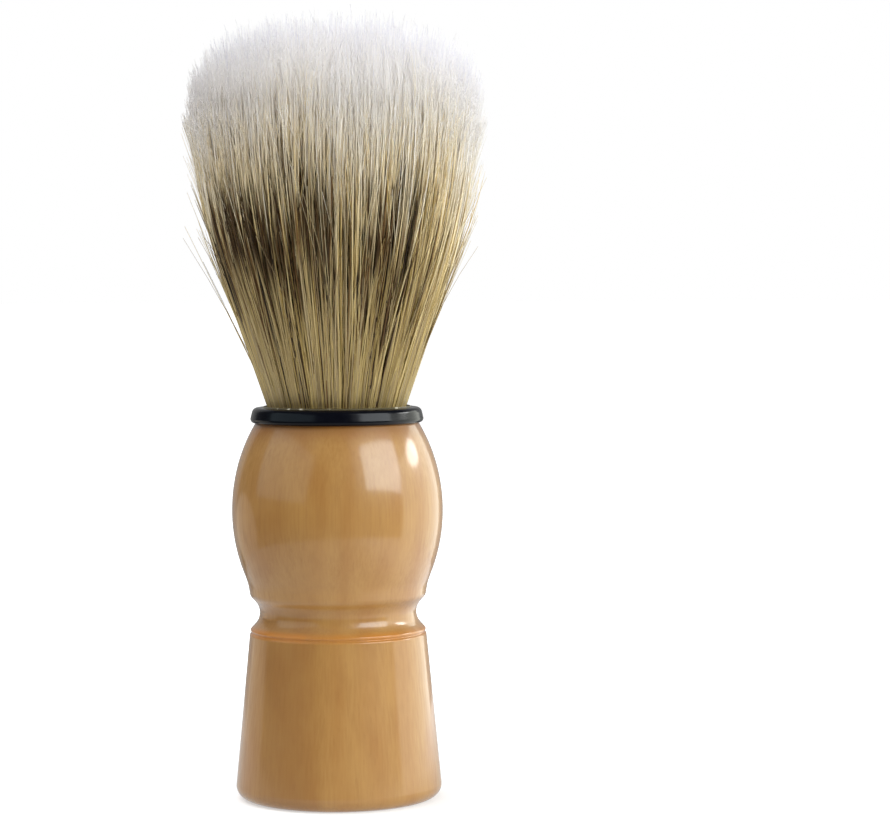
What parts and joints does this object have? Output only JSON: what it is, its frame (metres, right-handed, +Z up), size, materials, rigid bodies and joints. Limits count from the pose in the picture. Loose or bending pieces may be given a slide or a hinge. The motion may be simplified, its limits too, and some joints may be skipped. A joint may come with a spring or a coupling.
{
  "type": "shaving brush",
  "caption": "Barber's shaving brush with a turned, lacquered wood handle, a black collar and a fan-shaped tuft of pig bristle that flexes and springs back.",
  "frame": {"origin": "centre of the flat base face that the brush stands on", "axes": "+Z up along the brush's axis of revolution, from the base to the crown of the tuft; +X to the right as the brush is seen from the front, so -Y is the front"},
  "size_m": [0.045, 0.045, 0.1166],
  "materials": {
    "lacquered_beech": "gloss",
    "black_plastic": "gloss",
    "adhesive": "gloss",
    "casting_resin": "gloss",
    "twine": "matte",
    "bristle": "satin"
  },
  "bodies": {
    "grip": {"handle": "lacquered_beech", "collar": "black_plastic", "adhesive_bed": "adhesive", "resin_plug": "casting_resin", "binding_twine": "twine", "glue_bead": "adhesive", "bristle_root": "bristle"},
    "tuft": {"bristle_tuft": "bristle"}
  },
  "joints": [
    {"name": "tuft_bend", "type": "hinge", "parent": "grip", "child": "tuft", "pos_m": [0, 0, 0.072], "axis": [0, 1, 0], "range_deg": [-25, 25], "stiffness_Nm_per_rad": 0.2}
  ]
}
